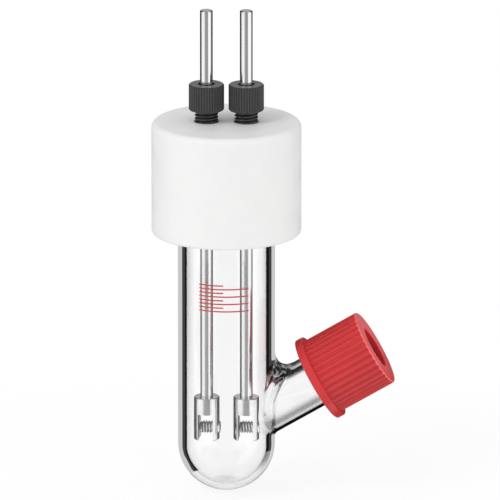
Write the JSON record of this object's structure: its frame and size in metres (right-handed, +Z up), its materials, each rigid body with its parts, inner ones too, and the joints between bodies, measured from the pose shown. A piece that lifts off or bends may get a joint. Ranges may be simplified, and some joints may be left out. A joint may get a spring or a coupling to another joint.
{
  "type": "electrolytic cell",
  "caption": "Undivided electrolytic cell: round-bottomed glass tube with a sloping capped side arm, thick screw lid and rod electrodes in knurled glands, ending in slotted clamps.",
  "frame": {"origin": "lowest outside point of the round glass bottom, on the tube's axis", "axes": "+Z up the tube, +X towards the side arm, and the two rods lie in the XZ plane"},
  "size_m": [0.0574, 0.0354, 0.1171],
  "materials": {
    "borosilicate_glass": "clear, fire-polished",
    "white_ptfe": "turned white plastic, satin",
    "seal_rubber": "matt elastomer",
    "black_nut": "black, knurled",
    "polished_steel": "polished",
    "turned_steel": "fine turned",
    "red_cap": "moulded, ribbed",
    "septum_rubber": "matt silicone"
  },
  "bodies": {
    "cell": {"glass_tube": "borosilicate_glass"},
    "lid_seal": {"lid_gasket": "seal_rubber"},
    "lid": {"lid": "white_ptfe"},
    "side_seal": {"side_septum": "septum_rubber", "septum_facing": "white_ptfe"},
    "side_cap": {"side_cap": "red_cap"},
    "washer_left": {"gland_washer_left": "white_ptfe"},
    "nut_left": {"gland_nut_left": "black_nut"},
    "oring_left": {"gland_oring_left": "seal_rubber"},
    "electrode_left": {"electrode_rod_left": "polished_steel", "electrode_clamp_left": "turned_steel"},
    "screw_left": {"clamp_screw_left": "turned_steel"},
    "washer_right": {"gland_washer_right": "white_ptfe"},
    "nut_right": {"gland_nut_right": "black_nut"},
    "oring_right": {"gland_oring_right": "seal_rubber"},
    "electrode_right": {"electrode_rod_right": "polished_steel", "electrode_clamp_right": "turned_steel"},
    "screw_right": {"clamp_screw_right": "turned_steel"}
  },
  "joints": [
    {"name": "lid_lift", "type": "slide", "parent": "cell", "child": "lid_seal", "axis": [0, 0, 1], "range_m": [0, 0.0105]},
    {"name": "lid_turn", "type": "hinge", "parent": "lid_seal", "child": "lid", "pos_m": [0, 0, 0.0776], "axis": [0, 0, 1], "range_deg": [0, 1080]},
    {"name": "cap_lift", "type": "slide", "parent": "cell", "child": "side_seal", "axis": [0.8643, 0, 0.503], "range_m": [0, 0.0075]},
    {"name": "cap_turn", "type": "hinge", "parent": "side_seal", "child": "side_cap", "pos_m": [0.03531, 0, 0.03505], "axis": [0.8643, 0, 0.503], "range_deg": [0, 1080]},
    {"name": "nut_lift_left", "type": "slide", "parent": "lid", "child": "washer_left", "axis": [0, 0, 1], "range_m": [0, 0.005]},
    {"name": "nut_turn_left", "type": "hinge", "parent": "washer_left", "child": "nut_left", "pos_m": [-0.0047, 0, 0.0992], "axis": [0, 0, 1], "range_deg": [0, 2250]},
    {"name": "electrode_turn_left", "type": "hinge", "parent": "lid", "child": "oring_left", "pos_m": [-0.0047, 0, 0.0832], "axis": [0, 0, 1], "continuous": true},
    {"name": "electrode_slide_left", "type": "slide", "parent": "oring_left", "child": "electrode_left", "axis": [0, 0, 1], "range_m": [-0.006, 0.0544]},
    {"name": "screw_travel_left", "type": "slide", "parent": "electrode_left", "child": "screw_left", "axis": [0.9962, -0.0872, 0], "range_m": [0, 0.0012]},
    {"name": "nut_lift_right", "type": "slide", "parent": "lid", "child": "washer_right", "axis": [0, 0, 1], "range_m": [0, 0.005]},
    {"name": "nut_turn_right", "type": "hinge", "parent": "washer_right", "child": "nut_right", "pos_m": [0.0047, 0, 0.0992], "axis": [0, 0, 1], "range_deg": [0, 2250]},
    {"name": "electrode_turn_right", "type": "hinge", "parent": "lid", "child": "oring_right", "pos_m": [0.0047, 0, 0.0832], "axis": [0, 0, 1], "continuous": true},
    {"name": "electrode_slide_right", "type": "slide", "parent": "oring_right", "child": "electrode_right", "axis": [0, 0, 1], "range_m": [-0.006, 0.0544]},
    {"name": "screw_travel_right", "type": "slide", "parent": "electrode_right", "child": "screw_right", "axis": [0.9962, -0.0872, 0], "range_m": [0, 0.0012]}
  ],
  "couplings": [
    {"joint": "lid_turn", "follows": "lid_lift", "rad_per_m": 1795.2},
    {"joint": "cap_turn", "follows": "cap_lift", "rad_per_m": 2513.3},
    {"joint": "nut_turn_left", "follows": "nut_lift_left", "rad_per_m": 7854},
    {"joint": "nut_turn_right", "follows": "nut_lift_right", "rad_per_m": 7854}
  ]
}
